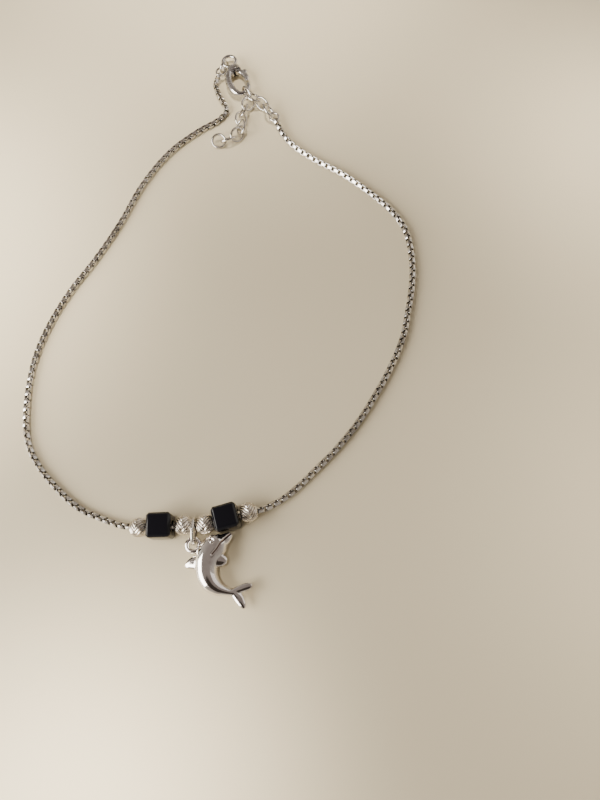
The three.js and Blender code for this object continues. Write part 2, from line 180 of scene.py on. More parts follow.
# The same five columns along the beak and each fin, from root to tip.
BEAK = [
    (4.6, 0.1, 1.48, 1.15, 1.0),
    (5.3, 0.45, 1.46, 0.95, 0.82),
    (5.85, 0.92, 1.44, 0.66, 0.58),
    (6.2, 1.3, 1.42, 0.4, 0.36),
]
UPPER_FLUKE = [
    (6.9, -7.3, 1.3, 0.55, 0.5),
    (7.8, -6.98, 1.3, 0.62, 0.42),
    (8.6, -6.68, 1.3, 0.62, 0.36),
    (9.25, -6.52, 1.32, 0.52, 0.3),
    (9.62, -6.42, 1.34, 0.32, 0.2),
]
LOWER_FLUKE = [
    (6.9, -7.6, 1.3, 0.55, 0.5),
    (7.55, -8.15, 1.28, 0.74, 0.42),
    (8.0, -8.85, 1.26, 0.66, 0.36),
    (8.35, -9.45, 1.24, 0.46, 0.28),
    (8.5, -9.8, 1.24, 0.24, 0.18),
]
DORSAL_FIN = [
    (1.7, -3.0, 1.35, 1.4, 0.8),
    (0.7, -3.1, 1.32, 1.12, 0.62),
    (0.05, -3.25, 1.3, 0.85, 0.48),
    (-0.42, -3.42, 1.28, 0.6, 0.36),
    (-0.7, -3.52, 1.28, 0.36, 0.24),
]
FLIPPER = [
    (3.9, -2.7, 1.8, 1.0, 0.6),
    (4.7, -2.75, 1.85, 1.0, 0.46),
    (5.3, -2.82, 1.8, 0.8, 0.36),
    (5.75, -2.9, 1.75, 0.42, 0.24),
]
# From the tail ring, the same five columns from the clasp's head round to the claw's tip.
CLAW = [
    (-0.2, -2.2, 0, 0.6, 0.7),
    (-1.1, -3.1, 0, 0.74, 0.88),
    (-1.62, -4.4, 0, 0.74, 0.92),
    (-1.72, -6.0, 0, 0.72, 0.88),
    (-1.4, -7.6, 0, 0.66, 0.78),
    (-0.55, -8.45, 0, 0.5, 0.52),
    (0.5, -8.45, 0, 0.49, 0.5),
    (1.3, -7.7, 0, 0.5, 0.52),
    (1.6, -6.7, 0, 0.34, 0.4),
]
# And along the lever, from its eye to its tip.
LEVER_ARM = [
    (0.85, -2.95, 0, 0.42, 0.4),
    (1.4, -3.7, 0, 0.55, 0.42),
    (1.75, -4.7, 0, 0.6, 0.52),
    (1.75, -5.55, 0, 0.5, 0.5),
    (1.58, -6.1, 0, 0.3, 0.4),
]

# The CAD's rivet stands on the lever's pivot, which ties the plan to the row frame.
clasp_turn = Matrix.Rotation(CLASP_TURN, 4, "Z")
pin_low, pin_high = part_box("clasp_pin")
pivot = Matrix.Translation(CLASP_PLACE) @ clasp_turn @ Vector((*PIVOT, 0))
ORIGIN = Vector((pin_low + pin_high) / 2 / MM - pivot)
ORIGIN.z = 0.0


def at(*place):
    """Point of the loop's plan in millimetres, as a row-frame point in millimetres."""
    return Vector(place) + ORIGIN


def smooth_line(points, per_span):
    """Points of a centripetal line through control rows; further columns follow along."""
    rows = np.array(points, float)
    ends = np.vstack([2 * rows[0] - rows[1], rows, 2 * rows[-1] - rows[-2]])
    knots = np.concatenate([[0], np.cumsum(np.linalg.norm(np.diff(ends[:, :3], axis=0), axis=1) ** 0.5)])
    line = []
    for i in range(len(rows) - 1):
        t0, t1, t2, t3 = knots[i:i + 4]
        p0, p1, p2, p3 = ends[i:i + 4]
        for t in np.linspace(t1, t2, per_span, endpoint=False):
            a = p0 + (p1 - p0) * (t - t0) / (t1 - t0)
            b = p1 + (p2 - p1) * (t - t1) / (t2 - t1)
            c = p2 + (p3 - p2) * (t - t2) / (t3 - t2)
            d = a + (b - a) * (t - t0) / (t2 - t0)
            e = b + (c - b) * (t - t1) / (t3 - t1)
            line.append(d + (e - d) * (t - t1) / (t2 - t1))
    line.append(rows[-1])
    return np.array(line)


def new_mesh(name, points, faces):
    """Mesh in metres from points in millimetres, with its faces turned outward."""
    mesh = bpy.data.meshes.new(name)
    mesh.from_pydata([tuple(Vector(p) * MM) for p in points], [], faces)
    shape = bmesh.new()
    shape.from_mesh(mesh)
    bmesh.ops.recalc_face_normals(shape, faces=shape.faces)
    shape.to_mesh(mesh)
    shape.free()
    mesh.shade_smooth()
    return mesh


def new_object(name, data):
    """Object in the scene from a mesh, a light or a camera."""
    piece = bpy.data.objects.new(name, data)
    bpy.context.scene.collection.objects.link(piece)
    return piece


def skin(rows, hoop):
    """Points and faces of a surface through rows that each go round once."""
    count, sides = len(rows), len(rows[0])
    faces = []
    for i in range(count if hoop else count - 1):
        near, far = i * sides, (i + 1) % count * sides
        for j in range(sides):
            k = (j + 1) % sides
            faces.append((near + j, near + k, far + k, far + j))
    if not hoop:
        faces.append(tuple(range(sides)))
        faces.append(tuple(range((count - 1) * sides, count * sides)))
    return [p for row in rows for p in row], faces


def loft(table, sides=28, per_span=10):
    """Body through ellipses along a smooth line; a row holds a middle and two half sizes."""
    line = smooth_line(table, per_span)
    along = np.gradient(line[:, :3], axis=0)
    rows = []
    for row, heading in zip(line, along):
        heading = Vector(heading).normalized()
        across = Vector((0, 0, 1)).cross(heading).normalized()
        rise = heading.cross(across)
        angles = np.linspace(0, 2 * math.pi, sides, endpoint=False)
        middle = Vector(row[:3])
        rows.append([middle + across * row[3] * math.cos(a) + rise * row[4] * math.sin(a) for a in angles])
    return skin(rows, False)


def wire_ring(size, place, heading=0.0, lean=0.0, steps=72, sides=16):
    """Closed oval of round wire, measured over the wire; lean turns it up about its long axis."""
    long, wide, wire = size
    half_long, half_wide = (long - wire) / 2, (wide - wire) / 2
    pose = Matrix.Translation(place) @ Matrix.Rotation(math.radians(heading), 4, "Z")
    pose = pose @ Matrix.Rotation(math.radians(lean), 4, "X")
    rows = []
    for a in np.linspace(0, 2 * math.pi, steps, endpoint=False):
        middle = Vector((half_long * math.cos(a), half_wide * math.sin(a), 0))
        outward = Vector((half_wide * math.cos(a), half_long * math.sin(a), 0)).normalized()
        round_wire = np.linspace(0, 2 * math.pi, sides, endpoint=False)
        rows.append([
            pose @ (middle + (outward * math.cos(b) + Vector((0, 0, math.sin(b)))) * wire / 2)
            for b in round_wire])
    return skin(rows, True)


def cylinder(radius, height, x, y, sides=32):
    """Upright cylinder, its middle at height 0."""
    angles = np.linspace(0, 2 * math.pi, sides, endpoint=False)
    rim = [(x + radius * math.cos(a), y + radius * math.sin(a)) for a in angles]
    return skin([[Vector((*p, z)) for p in rim] for z in (-height / 2, height / 2)], False)


def block(low, high):
    """Straight block between two opposite corners."""
    rim = [(low[0], low[1]), (high[0], low[1]), (high[0], high[1]), (low[0], high[1])]
    return skin([[Vector((*p, z)) for p in rim] for z in (low[2], high[2])], False)


def ellipsoid(place, half_sizes, steps=16, sides=28):
    """Rounded body, closed by a small flat at its top and bottom."""
    highest = math.pi / 2 - 0.05
    rows = []
    for a in np.linspace(-highest, highest, steps):
        row = []
        for b in np.linspace(0, 2 * math.pi, sides, endpoint=False):
            ball = Vector((math.cos(a) * math.cos(b), math.cos(a) * math.sin(b), math.sin(a)))
            row.append(Vector(place) + ball * Vector(half_sizes))
        rows.append(row)
    return skin(rows, False)


def evaluated_mesh(piece):
    """Finished mesh of a piece with its modifiers; the working piece is taken away."""
    graph = bpy.context.evaluated_depsgraph_get()
    mesh = bpy.data.meshes.new_from_object(piece.evaluated_get(graph))
    bpy.data.objects.remove(piece)
    return mesh


def cast(name, shapes, grain, softness):
    """One casting from overlapping shapes, blended where they meet."""
    points, faces = [], []
    for shape_points, shape_faces in shapes:
        start = len(points)
        points += shape_points
        faces += [tuple(start + i for i in face) for face in shape_faces]
    piece = new_object(name, new_mesh(name, points, faces))
    remesh = piece.modifiers.new("casting", "REMESH")
    remesh.mode = "VOXEL"
    remesh.voxel_size = grain * MM
    remesh.use_smooth_shade = True
    polish = piece.modifiers.new("polish", "SMOOTH")
    polish.factor = 0.5
    polish.iterations = softness
    return evaluated_mesh(piece)


def cut(mesh, *tools):
    """Mesh with tool shapes taken out of it."""
    piece = new_object(mesh.name, mesh)
    cutters = []
    for tool in tools:
        cutter = new_object("tool", new_mesh("tool", *tool))
        cutters.append(cutter)
        taken = piece.modifiers.new("cut", "BOOLEAN")
        taken.operation = "DIFFERENCE"
        taken.solver = "EXACT"
        taken.object = cutter
    bpy.context.view_layer.update()
    finished = evaluated_mesh(piece)
    for cutter in cutters:
        bpy.data.objects.remove(cutter)
    finished.shade_smooth()
    finished.set_sharp_from_angle(angle=math.radians(40))
    return finished


def mark_hollow_shade(mesh, marks):
    """Say of each point of a mesh how much painted shade it gets for lying in a recess, from 0 to 1."""
    recess = mesh.attributes.new("recess", "FLOAT", "POINT")
    recess.data.foreach_set("value", marks)


def finish_piece(piece, material, body, node):
    """Give a piece its finish and the body it rides on, and hide the CAD node it stands for."""
    piece.data.materials.clear()
    piece.data.materials.append(material)
    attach(piece, body)
    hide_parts(node)


# Materials


def new_material(name):
    """Material with its nodes, its links and its shader."""
    material = bpy.data.materials.new(name)
    material.use_nodes = True
    nodes, links = material.node_tree.nodes, material.node_tree.links
    return material, nodes, links, nodes["Principled BSDF"]


def wear_group():
    """Fine wear of handled metal: a slow tarnish mask, hairline scratches and a surface height."""
    tree = bpy.data.node_groups.new("handled_wear", "ShaderNodeTree")
    tree.interface.new_socket("Place", in_out="INPUT", socket_type="NodeSocketVector")
    for result in ("Tarnish", "Scratches", "Height"):
        tree.interface.new_socket(result, in_out="OUTPUT", socket_type="NodeSocketFloat")
    nodes, links = tree.nodes, tree.links
    entry = nodes.new("NodeGroupInput")
    leave = nodes.new("NodeGroupOutput")
    cloud = nodes.new("ShaderNodeTexNoise")
    cloud.inputs["Scale"].default_value = 420
    cloud.inputs["Detail"].default_value = 3
    stretch = nodes.new("ShaderNodeMapping")
    stretch.inputs["Rotation"].default_value = (0.3, 0.5, 0.9)
    stretch.inputs["Scale"].default_value = (900, 9000, 4000)
    hair = nodes.new("ShaderNodeTexNoise")
    hair.inputs["Scale"].default_value = 1
    hair.inputs["Detail"].default_value = 2
    ramp = nodes.new("ShaderNodeMapRange")
    ramp.inputs["From Min"].default_value = 0.52
    ramp.inputs["From Max"].default_value = 0.72
    dents = nodes.new("ShaderNodeTexNoise")
    dents.inputs["Scale"].default_value = 1500
    dents.inputs["Detail"].default_value = 1
    for placed in (cloud, stretch, dents):
        links.new(entry.outputs["Place"], placed.inputs["Vector"])
    links.new(stretch.outputs["Vector"], hair.inputs["Vector"])
    links.new(hair.outputs["Fac"], ramp.inputs["Value"])
    links.new(cloud.outputs["Fac"], leave.inputs["Tarnish"])
    links.new(ramp.outputs["Result"], leave.inputs["Scratches"])
    links.new(dents.outputs["Fac"], leave.inputs["Height"])
    return tree


WEAR = wear_group()
SCRATCH_ROUGHNESS = 0.12
DENT_DEPTH = 0.02


def wear_node(nodes, links):
    """The shared wear, placed by the piece's own coordinates."""
    place = nodes.new("ShaderNodeTexCoord")
    wear = nodes.new("ShaderNodeGroup")
    wear.node_tree = WEAR
    links.new(place.outputs["Object"], wear.inputs["Place"])
    return wear


def silver(name, bright, shade_and_tarnish_colour, roughness, shade_hollows=False, dents=0.0, tarnish=1.0):
    """Silver that dulls where it is tarnished, and goes darkest where its points carry painted shade for
    lying in a recess.
    """
    material, nodes, links, metal = new_material(name)
    metal.inputs["Metallic"].default_value = 1.0
    wear = wear_node(nodes, links)
    mask = nodes.new("ShaderNodeMapRange")
    mask.inputs["From Min"].default_value = 0.42
    mask.inputs["From Max"].default_value = 0.85
    mask.inputs["To Max"].default_value = tarnish
    links.new(wear.outputs["Tarnish"], mask.inputs["Value"])
    shade_and_tarnish = mask.outputs["Result"]
    # Points marked as lying in a recess take the dark colour as painted shade.
    if shade_hollows:
        recess = nodes.new("ShaderNodeAttribute")
        recess.attribute_name = "recess"
        deeper = nodes.new("ShaderNodeMath")
        deeper.operation = "MAXIMUM"
        links.new(shade_and_tarnish, deeper.inputs[0])
        links.new(recess.outputs["Fac"], deeper.inputs[1])
        shade_and_tarnish = deeper.outputs["Value"]
    colour = nodes.new("ShaderNodeMix")
    colour.data_type = "RGBA"
    colour.inputs["A"].default_value = (*bright, 1)
    colour.inputs["B"].default_value = (*shade_and_tarnish_colour, 1)
    links.new(shade_and_tarnish, colour.inputs["Factor"])
    links.new(colour.outputs["Result"], metal.inputs["Base Color"])
    rough = nodes.new("ShaderNodeMapRange")
    rough.inputs["To Min"].default_value = roughness
    rough.inputs["To Max"].default_value = roughness + SCRATCH_ROUGHNESS
    links.new(wear.outputs["Scratches"], rough.inputs["Value"])
    links.new(rough.outputs["Result"], metal.inputs["Roughness"])
    if dents:
        bump = nodes.new("ShaderNodeBump")
        bump.inputs["Strength"].default_value = dents
        bump.inputs["Distance"].default_value = DENT_DEPTH * MM
        links.new(wear.outputs["Height"], bump.inputs["Height"])
        links.new(bump.outputs["Normal"], metal.inputs["Normal"])
    return material


def black_stone():
    """Polished black stone: a mirror surface with faint wiping marks."""
    material, nodes, links, stone = new_material("black_stone")
    stone.inputs["Base Color"].default_value = (0.003, 0.003, 0.005, 1)
    stone.inputs["Specular IOR Level"].default_value = 0.3
    wear = wear_node(nodes, links)
    rough = nodes.new("ShaderNodeMapRange")
    rough.inputs["To Min"].default_value = 0.03
    rough.inputs["To Max"].default_value = 0.1
    links.new(wear.outputs["Scratches"], rough.inputs["Value"])
    links.new(rough.outputs["Result"], stone.inputs["Roughness"])
    return material


def table_top():
    """Pale warm table top with a slight cloudiness."""
    material, nodes, links, top = new_material("table_top")
    top.inputs["Roughness"].default_value = 0.42
    top.inputs["Specular IOR Level"].default_value = 0.35
    place = nodes.new("ShaderNodeTexCoord")
    cloud = nodes.new("ShaderNodeTexNoise")
    cloud.inputs["Scale"].default_value = 26
    cloud.inputs["Detail"].default_value = 4
    colour = nodes.new("ShaderNodeMix")
    colour.data_type = "RGBA"
    colour.inputs["A"].default_value = (0.60, 0.52, 0.355, 1)
    colour.inputs["B"].default_value = (0.63, 0.55, 0.385, 1)
    links.new(place.outputs["Object"], cloud.inputs["Vector"])
    links.new(cloud.outputs["Fac"], colour.inputs["Factor"])
    links.new(colour.outputs["Result"], top.inputs["Base Color"])
    return material


# Bright colour, colour of tarnish and of painted shade, and roughness of each silver.
CHAIN_SILVER = silver("chain_silver", (0.74, 0.71, 0.66), (0.16, 0.14, 0.125), 0.2, shade_hollows=True)
RING_SILVER = silver("ring_silver", (0.70, 0.67, 0.62), (0.36, 0.33, 0.29), 0.17)
POLISHED_SILVER = silver(
    "polished_silver", (0.92, 0.88, 0.83), (0.14, 0.06, 0.04), 0.07,
    shade_hollows=True, dents=0.06, tarnish=0.45)
CLASP_SILVER = silver("clasp_silver", (0.68, 0.655, 0.62), (0.36, 0.34, 0.31), 0.18, dents=0.12)
CUT_SILVER = silver("cut_silver", (0.86, 0.80, 0.71), (0.26, 0.215, 0.165), 0.24, shade_hollows=True)
BLACK_STONE = black_stone()

# Box chain


def chain_link():
    """One box link: a square band bent round its hole, lying along Z with its hole facing Y."""
    half_long, half_wide = LINK_LONG / 2, LINK_WIDE / 2
    corners = [(1, 1), (-1, 1), (-1, -1), (1, -1)]
    outline = []
    for i, (across, along) in enumerate(corners):
        for quarter in (0, 0.5, 1):
            angle = math.pi / 2 * (i + quarter)
            outline.append((
                across * (half_wide - LINK_CORNER), along * (half_long - LINK_CORNER),
                math.cos(angle), math.sin(angle)))
    band = LINK_BAND / 2
    # Depth under the link's outside, place across the band and painted shade mark, round the band's
    # section; the painted shade darkens the band's inside for its shadow and some oxide there.
    section = [
        (0, -band + LINK_EASE, 0.0),
        (0, band - LINK_EASE, 0.0),
        (LINK_EASE, band, 0.35),
        (LINK_THICK, band, 1.0),
        (LINK_THICK, -band, 1.0),
        (LINK_EASE, -band, 0.35),
    ]
    rows = []
    for x, z, cos, sin in outline:
        rows.append([
            Vector((x + cos * (LINK_CORNER - depth), y, z + sin * (LINK_CORNER - depth)))
            for depth, y, mark in section])
    mesh = new_mesh("box_link", *skin(rows, True))
    mark_hollow_shade(mesh, [mark for depth, y, mark in section] * len(outline))
    return mesh


def box_chain_tree():
    """Links set along a route at a pitch, each turned a quarter from the last."""
    tree = bpy.data.node_groups.new("box_chain", "GeometryNodeTree")
    ask = tree.interface.new_socket
    ask("Route", in_out="INPUT", socket_type="NodeSocketGeometry")
    ask("Link", in_out="INPUT", socket_type="NodeSocketObject")
    ask("Pitch", in_out="INPUT", socket_type="NodeSocketFloat")
    ask("Play", in_out="INPUT", socket_type="NodeSocketFloat")
    ask("Seed", in_out="INPUT", socket_type="NodeSocketInt")
    ask("Metal", in_out="INPUT", socket_type="NodeSocketMaterial")
    ask("Chain", in_out="OUTPUT", socket_type="NodeSocketGeometry")
    nodes, links = tree.nodes, tree.links
    entry = nodes.new("NodeGroupInput")
    leave = nodes.new("NodeGroupOutput")
    curve = nodes.new("GeometryNodeMeshToCurve")
    spaced = nodes.new("GeometryNodeResampleCurve")
    spaced.mode = "LENGTH"
    tangent = nodes.new("GeometryNodeInputTangent")
    facing = nodes.new("FunctionNodeAxesToRotation")
    facing.primary_axis = "Z"
    facing.secondary_axis = "Y"
    facing.inputs["Secondary Axis"].default_value = (0, 0, 1)
    roll = nodes.new("GeometryNodeInputNamedAttribute")
    roll.data_type = "FLOAT"
    roll.inputs["Name"].default_value = "roll"
    index = nodes.new("GeometryNodeInputIndex")
    every_other = nodes.new("ShaderNodeMath")
    every_other.operation = "MODULO"
    every_other.inputs[1].default_value = 2
    quarter = nodes.new("ShaderNodeMath")
    quarter.operation = "MULTIPLY_ADD"
    quarter.inputs[1].default_value = math.pi / 2
    play = nodes.new("FunctionNodeRandomValue")
    play.data_type = "FLOAT"
    lowest = nodes.new("ShaderNodeMath")
    lowest.operation = "MULTIPLY"
    lowest.inputs[1].default_value = -1
    turned = nodes.new("ShaderNodeMath")
    turned.operation = "ADD"
    twist = nodes.new("FunctionNodeAxisAngleToRotation")
    twist.inputs["Axis"].default_value = (0, 0, 1)
    set_link = nodes.new("FunctionNodeRotateRotation")
    set_link.rotation_space = "LOCAL"
    link_object = nodes.new("GeometryNodeObjectInfo")
    instances = nodes.new("GeometryNodeInstanceOnPoints")
    real = nodes.new("GeometryNodeRealizeInstances")
    metal = nodes.new("GeometryNodeSetMaterial")
    links.new(entry.outputs["Route"], curve.inputs["Mesh"])
    links.new(curve.outputs["Curve"], spaced.inputs["Curve"])
    links.new(entry.outputs["Pitch"], spaced.inputs["Length"])
    links.new(spaced.outputs["Curve"], instances.inputs["Points"])
    links.new(entry.outputs["Link"], link_object.inputs["Object"])
    links.new(link_object.outputs["Geometry"], instances.inputs["Instance"])
    links.new(tangent.outputs["Tangent"], facing.inputs["Primary Axis"])
    links.new(index.outputs["Index"], every_other.inputs[0])
    links.new(every_other.outputs["Value"], quarter.inputs[0])
    links.new(roll.outputs["Attribute"], quarter.inputs[2])
    links.new(entry.outputs["Play"], lowest.inputs[0])
    # The random number's sockets share their names with other kinds of value, so they go by place.
    links.new(lowest.outputs["Value"], play.inputs[2])
    links.new(entry.outputs["Play"], play.inputs[3])
    links.new(entry.outputs["Seed"], play.inputs["Seed"])
    links.new(quarter.outputs["Value"], turned.inputs[0])
    links.new(play.outputs[1], turned.inputs[1])
    links.new(turned.outputs["Value"], twist.inputs["Angle"])
    links.new(facing.outputs["Rotation"], set_link.inputs["Rotation"])
    links.new(twist.outputs["Rotation"], set_link.inputs["Rotate By"])
    links.new(set_link.outputs["Rotation"], instances.inputs["Rotation"])
    links.new(instances.outputs["Instances"], real.inputs["Geometry"])
    links.new(real.outputs["Geometry"], metal.inputs["Geometry"])
    links.new(entry.outputs["Metal"], metal.inputs["Material"])
    links.new(metal.outputs["Geometry"], leave.inputs["Chain"])
    return tree


def joined_mesh(name, meshes):
    """One mesh from several, with their painted shade marks."""
    shape = bmesh.new()
    for mesh in meshes:
        shape.from_mesh(mesh)
    whole = bpy.data.meshes.new(name)
    shape.to_mesh(whole)
    shape.free()
    return whole


def chain_run(name, rows, link, tree, seed):
    """Run of box links along a route, with the eye soldered to its far end."""
    line = smooth_line(rows, 12)
    points = [at(*row[:3]) * MM for row in line]
    route_mesh = bpy.data.meshes.new(name + "_route")
    route_mesh.from_pydata(points, [(i, i + 1) for i in range(len(points) - 1)], [])
    roll = route_mesh.attributes.new("roll", "FLOAT", "POINT")
    roll.data.foreach_set("value", np.radians(line[:, 3]))
    route = new_object(name + "_route", route_mesh)
    sockets = {item.name: item.identifier for item in tree.interface.items_tree if item.in_out == "INPUT"}
    links = route.modifiers.new("links", "NODES")
    links.node_group = tree
    links[sockets["Link"]] = link
    links[sockets["Pitch"]] = LINK_PITCH * MM
    links[sockets["Play"]] = LINK_PLAY
    links[sockets["Seed"]] = seed
    links[sockets["Metal"]] = CHAIN_SILVER
    run = evaluated_mesh(route)
    end, before = Vector(line[-1][:3]), Vector(line[-4][:3])
    heading = (end - before).normalized()
    eye_place = end + heading * (CHAIN_EYE[0] - CHAIN_EYE[2]) / 2
    eye_turn = math.degrees(math.atan2(heading.y, heading.x))
    eye = new_mesh("eye", *wire_ring(CHAIN_EYE, at(*eye_place), eye_turn))
    whole = joined_mesh(name, [run, eye])
    whole.shade_smooth()
    whole.set_sharp_from_angle(angle=math.radians(35))
    return new_object(name + "_links", whole)


# The runs start on either side of the second ball's middle and go through the beads, then to the clasp.
BEAD_ROLL = 45
bead_rows = [(*place, BEAD_ROLL) for place in BEADS.values()]
meeting = np.array(bead_rows[2], float)
onward = np.array(bead_rows[3], float) - meeting
half_gap = onward / np.linalg.norm(onward) * CHAIN_HALF_GAP
left_rows = [tuple(meeting - half_gap), bead_rows[1], bead_rows[0], *LEFT_ROUTE]
right_rows = [tuple(meeting + half_gap), *bead_rows[3:], *RIGHT_ROUTE]
box_link = new_object("box_link", chain_link())
chain_tree = box_chain_tree()
for name, rows, seed in (("chain_left", left_rows, 3), ("chain_right", right_rows, 8)):
    run = chain_run(name, rows, box_link, chain_tree, seed)
    finish_piece(run, CHAIN_SILVER, "anklet", name)
bpy.data.objects.remove(box_link)

# Beads


def cut_ball(name, place, along):
    """Ball with chevron cuts that meet round its middle, drilled along the thread."""
    widest = math.acos(BORE_RADIUS / BALL_RADIUS)
    bands, steps = 56, BALL_CUTS * 14
    facing = Vector((1, 0, 0)).rotation_difference(along).to_matrix().to_4x4()
    pose = Matrix.Translation(place) @ facing
    rows, marks = [], []
    for i in range(bands + 1):
        latitude = widest * (2 * i / bands - 1)
        fade = min(1.0, (widest - abs(latitude)) / BALL_RIM)
        row = []
        for j in range(steps):
            longitude = 2 * math.pi * j / steps
            stripe = (BALL_CUTS * longitude / (2 * math.pi) + BALL_CUT_LEAN * abs(latitude)) % 1.0
            groove = abs(2 * stripe - 1) ** BALL_CUT_CURVE * fade
            radius = BALL_RADIUS - BALL_CUT_DEPTH * groove
            ring = radius * math.cos(latitude)
            row.append(pose @ Vector((
                radius * math.sin(latitude), ring * math.cos(longitude), ring * math.sin(longitude))))
            # The deeper part of each cut gets painted shade.
            marks.append(max(0.0, groove - BALL_BRIGHT_SHARE) / (1 - BALL_BRIGHT_SHARE))
        rows.append(row)
    mesh = new_mesh(name, *skin(rows, True))
    mark_hollow_shade(mesh, marks)
    mesh.set_sharp_from_angle(angle=math.radians(50))
    return new_object(name + "_cuts", mesh)


def polished_cube(node):
    """Cube with its chamfers, every edge slightly rounded by the polishing."""
    mesh = node.data.copy()
    shape = bmesh.new()
    shape.from_mesh(mesh)
    bmesh.ops.remove_doubles(shape, verts=shape.verts, dist=1e-7)
    bmesh.ops.dissolve_limit(shape, angle_limit=math.radians(1), verts=shape.verts, edges=shape.edges)
    shape.to_mesh(mesh)
    shape.free()
    name = node.name + "_polished"
    piece = new_object(name, mesh)
    rounding = piece.modifiers.new("rounding", "BEVEL")
    rounding.width = CUBE_ROUNDING * MM
    rounding.segments = 3
    rounding.limit_method = "ANGLE"
    rounding.angle_limit = math.radians(30)
    finished = evaluated_mesh(piece)
    finished.shade_smooth()
    finished.set_sharp_from_angle(angle=math.radians(32))
    return new_object(name, finished)


thread = [LEFT_ROUTE[0][:3], *BEADS.values(), RIGHT_ROUTE[0][:3]]
for i, (name, place) in enumerate(BEADS.items()):
    if name.startswith("ball"):
        along = (Vector(thread[i + 2]) - Vector(thread[i])).normalized()
        finish_piece(cut_ball(name, at(*place), along), CUT_SILVER, "anklet", name)
    else:
        finish_piece(polished_cube(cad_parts[name]), BLACK_STONE, "anklet", name)

# Wire rings

for name, (x, y, z, heading, lean, size) in RINGS.items():
    ring = new_object(name + "_wire", new_mesh(name, *wire_ring(size, at(x, y, z), heading, lean)))
    finish_piece(ring, RING_SILVER, "anklet", name)

# Dolphin charm

# The eye and the mouth are engraved in what lies above this height.
UPPER_SIDE = 1.6
ENGRAVED_DEPTH = 0.15
EYE_SPOT = Vector((3.4, 0.0))
EYE_RADIUS = 0.3
EYE_WIDTH = 0.1
EYE_SHADE = 0.45
MOUTH_WIDTH = 0.13
MOUTH = [Vector(p) for p in ((6.2, 1.25), (5.35, 0.4), (4.75, -0.3), (4.3, -1.1), (3.6, -1.95))]


def from_line(point, line):
    """Plan distance of a point from a line of straight stretches."""
    nearest = math.inf
    for start, end in zip(line, line[1:]):
        stretch = end - start
        t = min(1.0, max(0.0, (point - start).dot(stretch) / stretch.length_squared))
        nearest = min(nearest, (point - start - stretch * t).length)
    return nearest


def engrave(mesh):
    """Eye and mouth pressed into the upper side of the charm, their lines darkened with painted shade."""
    marks = []
    for vertex in mesh.vertices:
        place = vertex.co / MM
        mark = 0.0
        if place.z > UPPER_SIDE:
            plan = place.xy
            mouth = math.exp(-(from_line(plan, MOUTH) / MOUTH_WIDTH) ** 2)
            rim = (plan - EYE_SPOT).length
            eye = math.exp(-((rim - EYE_RADIUS) / EYE_WIDTH) ** 2)
            vertex.co.z -= max(mouth, eye) * ENGRAVED_DEPTH * MM
            # Painted shade along the mouth, lighter in the eye's ring.
            mark = max(mouth, eye * EYE_SHADE)
        marks.append(mark)
    mark_hollow_shade(mesh, marks)


dolphin_mesh = cast("dolphin_cast", [
    loft(DOLPHIN_BODY, sides=40, per_span=12),
    *(loft(table) for table in (BEAK, UPPER_FLUKE, LOWER_FLUKE, DORSAL_FIN, FLIPPER)),
    wire_ring(BAIL, BAIL_PLACE),
], grain=0.06, softness=14)
engrave(dolphin_mesh)
dolphin_mesh.transform(Matrix.Translation(at(*DOLPHIN_PLACE, 0) * MM))
dolphin_mesh.shade_smooth()
dolphin = new_object("dolphin_cast", dolphin_mesh)
finish_piece(dolphin, POLISHED_SILVER, "anklet", "dolphin")

# Lobster clasp

TAIL_RING = (3.2, 3.2, 0.62)
HEAD_PLACE = (0.1, -2.4, 0)
HEAD_HALF_SIZES = (1.45, 1.3, 1.05)
THUMB_PLACE = (1.95, -3.75, 0)
THUMB_HALF_SIZES = (0.5, 0.65, 0.45)
LEVER_EYE_RADIUS = 0.75
LEVER_EYE_THICK = 0.8
PIN_RADIUS = 0.28
PIN_LONG = 2.16
PIN_HOLE_RADIUS = 0.45
PIN_HOLE_LONG = 4.0
# The lever's slot in the head, from its pivot to the closed corner and to the open one.
SLOT_BEHIND = 0.95
SLOT_AHEAD = 2.05
SLOT_HALF_HEIGHT = 0.6

clasp_pose = Matrix.Translation(at(*CLASP_PLACE) * MM) @ clasp_turn
pin_hole = cylinder(PIN_HOLE_RADIUS, PIN_HOLE_LONG, *PIVOT)
lever_slot = block(
    (PIVOT[0] - SLOT_BEHIND, PIVOT[1] - SLOT_AHEAD, -SLOT_HALF_HEIGHT),
    (PIVOT[0] + SLOT_AHEAD, PIVOT[1] + SLOT_BEHIND, SLOT_HALF_HEIGHT))


def finish_clasp(name, mesh, body, node):
    """Set a piece of the clasp at the clasp's place."""
    mesh.transform(clasp_pose)
    finish_piece(new_object(name, mesh), CLASP_SILVER, body, node)


clasp_mesh = cast("clasp_cast", [
    wire_ring(TAIL_RING, (0, 0, 0)),
    ellipsoid(HEAD_PLACE, HEAD_HALF_SIZES),
    loft(CLAW, per_span=8),
], grain=0.055, softness=10)
finish_clasp("clasp_cast", cut(clasp_mesh, lever_slot, pin_hole), "anklet", "clasp_body")

lever_mesh = cast("lever_cast", [
    cylinder(LEVER_EYE_RADIUS, LEVER_EYE_THICK, *PIVOT),
    loft(LEVER_ARM, sides=24, per_span=8),
    ellipsoid(THUMB_PLACE, THUMB_HALF_SIZES),
], grain=0.05, softness=5)
finish_clasp("lever_cast", cut(lever_mesh, pin_hole), "lever", "clasp_lever")

pin_mesh = cast("pin_rivet", [cylinder(PIN_RADIUS, PIN_LONG, *PIVOT)], grain=0.035, softness=3)
finish_clasp("pin_rivet", pin_mesh, "anklet", "clasp_pin")

# Table, light and camera; this part is in metres, apart from places on the plan.

TABLE_HALF = 1.0
LEFT_WINDOW_COLOUR = (1.0, 0.96, 0.9)
RIGHT_WINDOW_COLOUR = (1.0, 0.95, 0.9)
POOL_COLOUR = (1.0, 0.935, 0.83)
POOL_HEIGHT = 250

table_corners = [(x * TABLE_HALF, y * TABLE_HALF, 0) for x, y in ((-1, -1), (1, -1), (1, 1), (-1, 1))]
table_mesh = bpy.data.meshes.new("table")
table_mesh.from_pydata(table_corners, [], [(0, 1, 2, 3)])
table_mesh.materials.append(table_top())
new_object("table", table_mesh)


